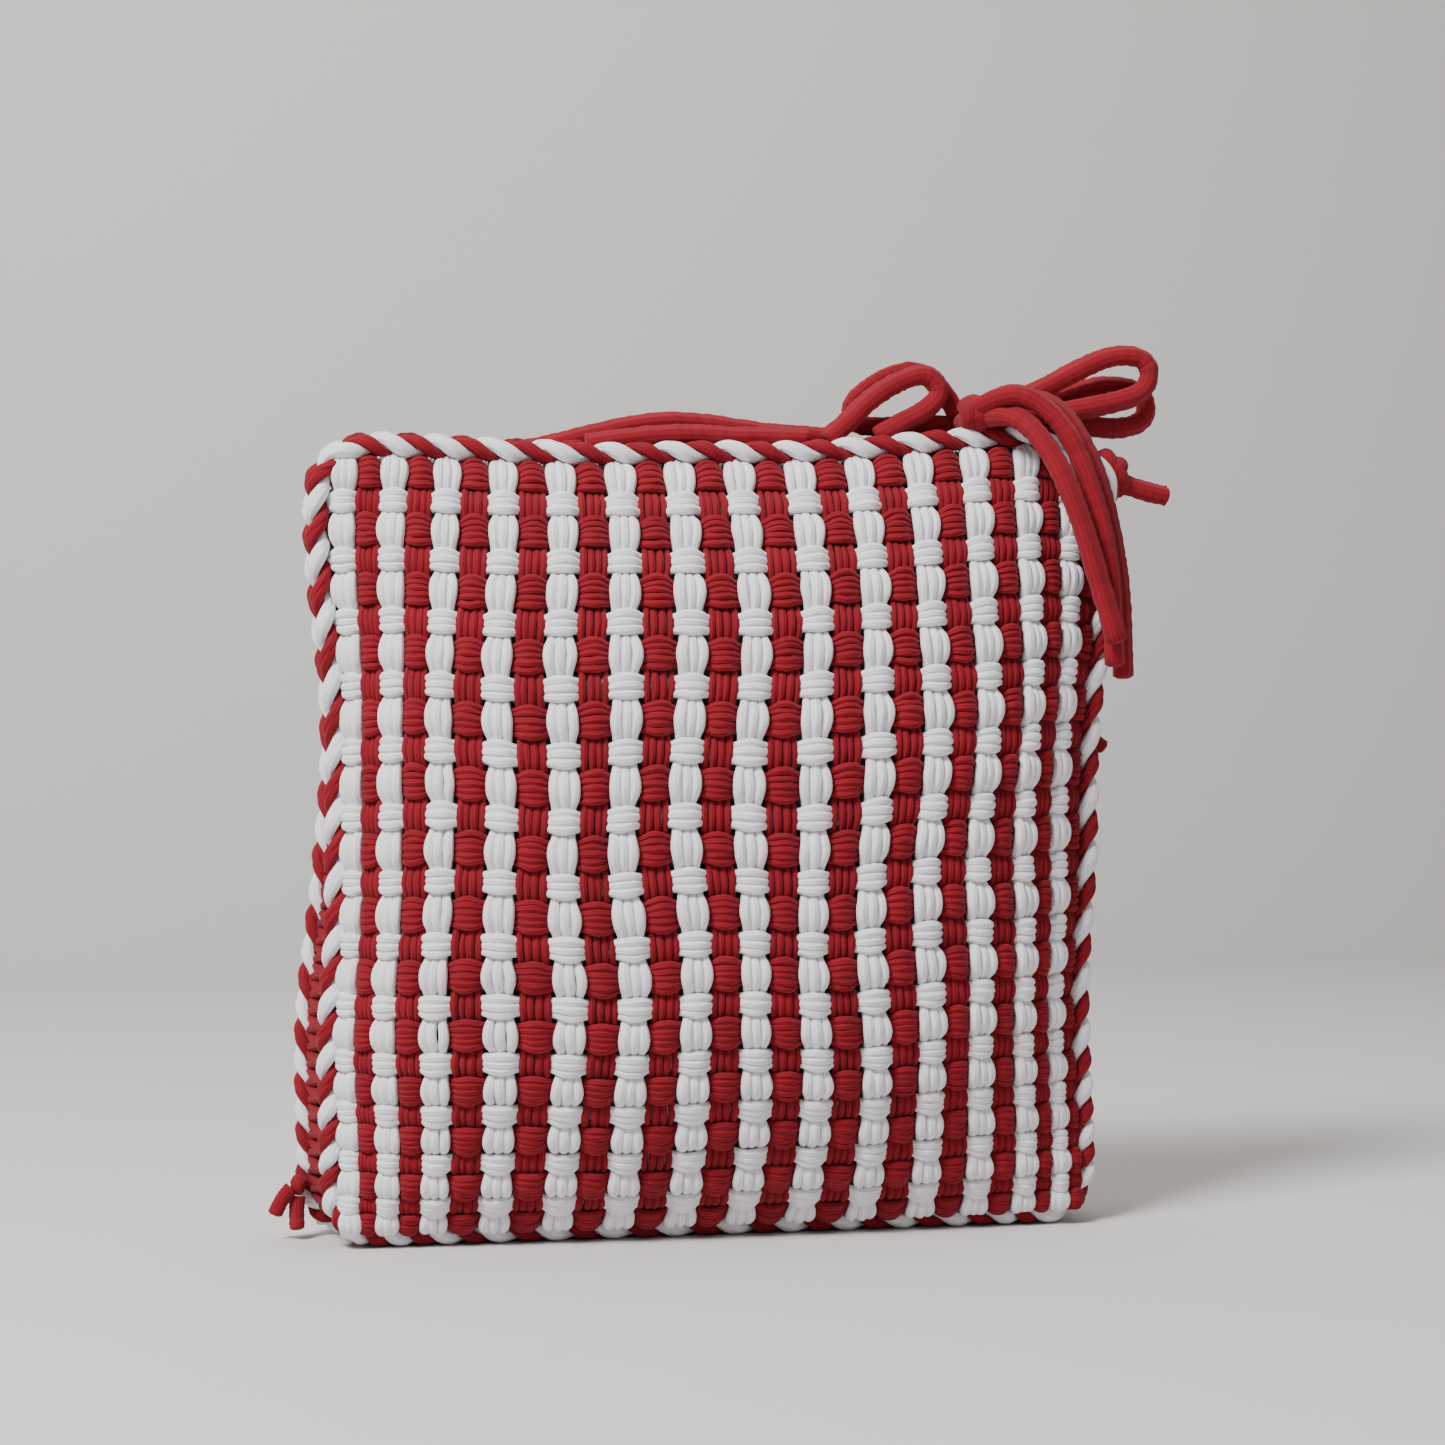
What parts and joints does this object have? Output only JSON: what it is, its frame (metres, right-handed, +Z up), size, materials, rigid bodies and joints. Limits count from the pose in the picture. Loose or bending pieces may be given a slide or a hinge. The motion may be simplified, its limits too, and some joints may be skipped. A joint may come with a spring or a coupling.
{
  "type": "woven cushion",
  "caption": "Square hand-woven cushion in chunky red and white jersey yarn, with a twisted rope edging and a cord bow.",
  "frame": {"origin": "middle of the flat strip that the cushion stands on, at floor level", "axes": "+X to the right seen from the front, -Y out of the front panel, +Z up"},
  "size_m": [0.4719, 0.1594, 0.4558],
  "materials": {
    "red_yarn": "matte jersey",
    "white_yarn": "matte jersey",
    "insert_cloth": "plain woven cotton",
    "fibre": "loose polyester fibre"
  },
  "bodies": {
    "root": {"front_white_warps": "white_yarn", "front_red_warps": "red_yarn", "front_white_wefts": "white_yarn", "front_red_wefts": "red_yarn", "front_edging_white_ply": "white_yarn", "front_edging_red_ply": "red_yarn", "front_insert_cloth": "insert_cloth", "back_white_warps": "white_yarn", "back_red_warps": "red_yarn", "back_white_wefts": "white_yarn", "back_red_wefts": "red_yarn", "back_edging_white_ply": "white_yarn", "back_edging_red_ply": "red_yarn", "back_insert_cloth": "insert_cloth", "fibre_fill": "fibre", "left_seam_lacing": "red_yarn", "right_seam_lacing": "red_yarn", "foot_seam_lacing": "red_yarn", "top_tie_rear": "red_yarn", "top_tie_front": "red_yarn", "left_loop_outer": "red_yarn", "left_loop_inner": "red_yarn", "right_loop_upper": "red_yarn", "right_loop_lower": "red_yarn", "front_tail": "red_yarn", "doubled_tail_near": "red_yarn", "doubled_tail_far": "red_yarn", "corner_stub": "red_yarn", "lacing_end_left": "red_yarn", "lacing_end_right": "red_yarn", "edge_yarn_end": "red_yarn", "bow_knot": "red_yarn", "corner_knot": "red_yarn", "lacing_tie_off": "red_yarn"}
  },
  "joints": []
}
